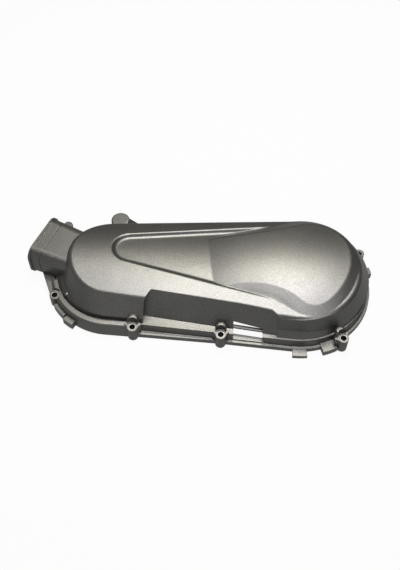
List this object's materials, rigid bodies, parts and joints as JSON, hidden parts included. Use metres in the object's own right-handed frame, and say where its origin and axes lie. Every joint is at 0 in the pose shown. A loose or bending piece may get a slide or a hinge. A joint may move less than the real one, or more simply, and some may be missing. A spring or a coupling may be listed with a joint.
{
  "type": "clutch cover",
  "caption": "Long die-cast side cover for a scooter's belt drive and clutch: domed body with scooped face and raised plateau, air duct at one end, bolt bosses round a flanged rim.",
  "frame": {"origin": "centre of the cover's bounding box in plan, on the plane of the mating face", "axes": "+X from the drive pulley and air duct end towards the clutch end, +Y from the long side with the outlet window towards the side with the starter pinion boss, +Z outwards from the mating face"},
  "size_m": [0.4076, 0.1884, 0.0595],
  "materials": {
    "cover_paint": "fine metallic titanium-grey paint over a die-cast aluminium skin, satin, with bare machined seats"
  },
  "bodies": {
    "root": {"clutch_cover": "cover_paint"}
  },
  "joints": []
}
